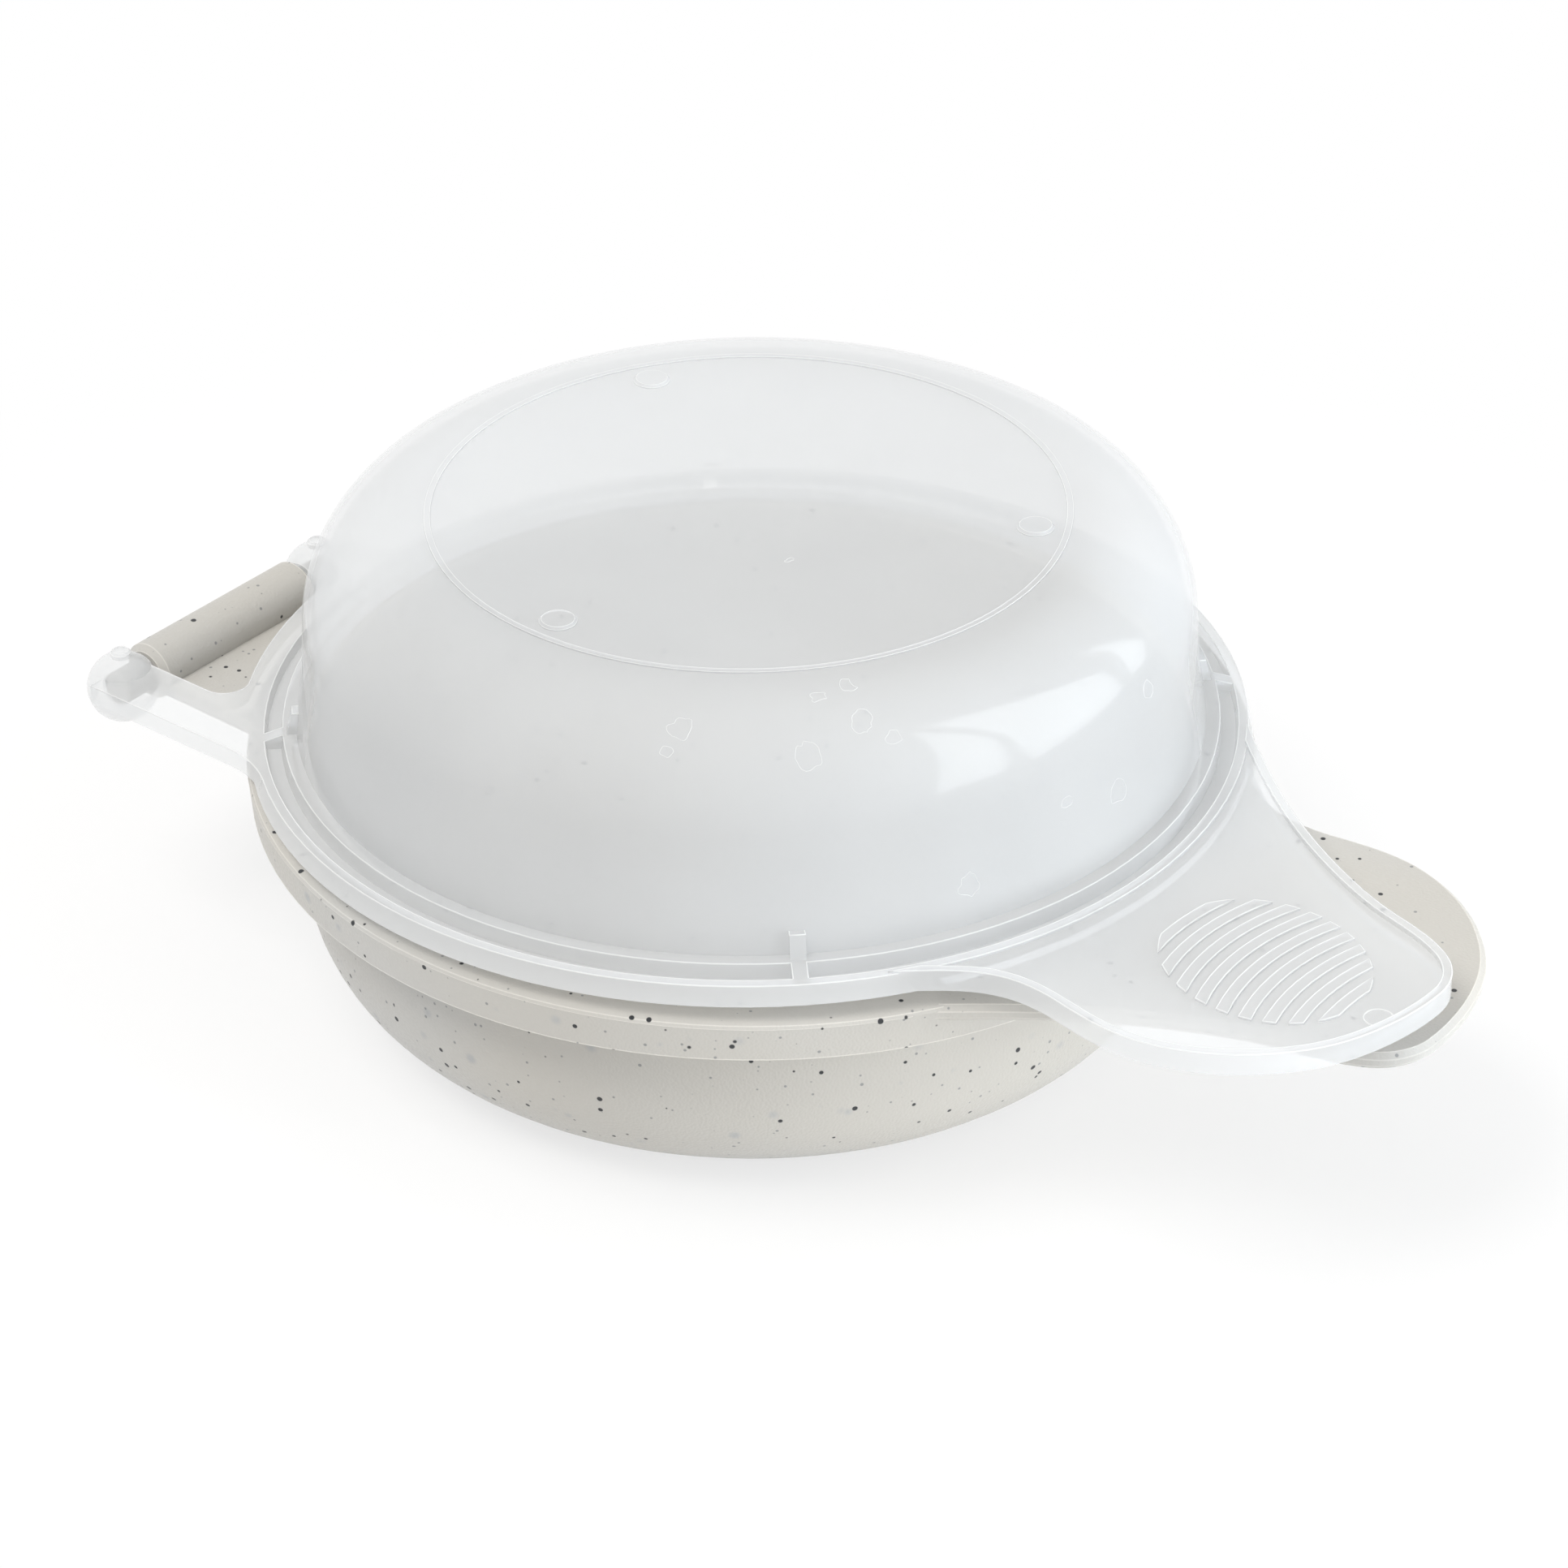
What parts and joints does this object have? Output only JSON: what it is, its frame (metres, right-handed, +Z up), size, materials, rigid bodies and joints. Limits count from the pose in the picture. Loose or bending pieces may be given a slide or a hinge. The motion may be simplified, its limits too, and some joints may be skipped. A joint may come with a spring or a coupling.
{
  "type": "microwave egg cooker",
  "caption": "Round microwave egg cooker: speckled plastic pan with a paddle handle and a frosted dome lid on a snap hinge that folds open flat.",
  "frame": {"origin": "centre of the pan's flat foot", "axes": "+X to the handles, away from the hinge; +Z up; the hinge axis runs along Y"},
  "size_m": [0.2028, 0.1452, 0.0767],
  "materials": {
    "speckled_plastic": "matte off-white with fine dark speckles",
    "frosted_plastic": "frosted, translucent"
  },
  "bodies": {
    "pan": {"base_pan": "speckled_plastic"},
    "lid": {"lid": "frosted_plastic"}
  },
  "joints": [
    {"name": "lid_hinge", "type": "hinge", "parent": "pan", "child": "lid", "pos_m": [-0.0792, -0.0274, 0.0377], "axis": [0, -1, 0], "range_deg": [-1.1, 178.9]}
  ]
}
